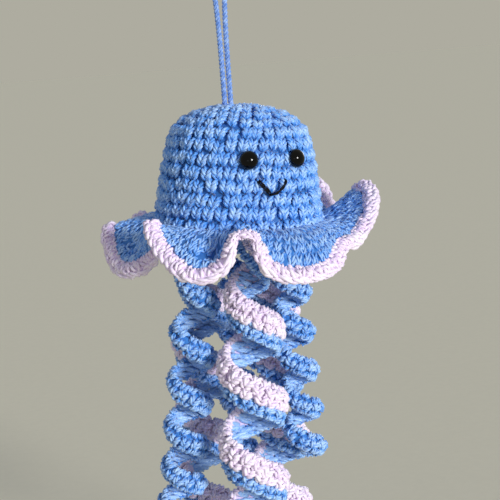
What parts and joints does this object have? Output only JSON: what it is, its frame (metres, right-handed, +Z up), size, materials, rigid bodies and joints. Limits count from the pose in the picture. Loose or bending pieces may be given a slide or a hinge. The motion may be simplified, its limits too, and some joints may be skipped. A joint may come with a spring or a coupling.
{
  "type": "plush jellyfish",
  "caption": "Small crocheted jellyfish ornament on a hanging loop: stuffed bell with bead eyes and a stitched smile, ruffled frill with a pale edging, and curled ribbon tentacles.",
  "frame": {"origin": "inside top of the hanging loop, where a hook or pin carries it", "axes": "+Z up along the plumb cord, -Y the way the face looks"},
  "size_m": [0.0973, 0.1045, 0.2246],
  "materials": {
    "yarn_blue": "light blue acrylic yarn, single crochet",
    "yarn_white": "white acrylic yarn with a lavender cast, crocheted",
    "cord_blue": "plied light blue cord",
    "eye_black": "polished black safety eye",
    "washer_black": "moulded black",
    "thread_black": "black embroidery thread",
    "fibrefill": "polyester fibrefill"
  },
  "bodies": {
    "root": {"bell": "yarn_blue", "base_disc": "yarn_blue", "stuffing": "fibrefill", "eye_left": "eye_black", "eye_right": "eye_black", "eye_washer_left": "washer_black", "eye_washer_right": "washer_black", "smile": "thread_black", "frill": "yarn_blue", "frill_edging": "yarn_white", "hanging_loop": "cord_blue", "cord_knot": "cord_blue", "tentacle_blue_left": "yarn_blue", "tentacle_blue_right": "yarn_blue", "tentacle_blue_back": "yarn_blue", "tentacle_white_front": "yarn_white", "tentacle_white_back_right": "yarn_white", "tentacle_white_back_left": "yarn_white", "tentacle_edge_front": "yarn_blue", "tentacle_edge_back_right": "yarn_blue", "tentacle_edge_back_left": "yarn_blue"}
  },
  "joints": []
}
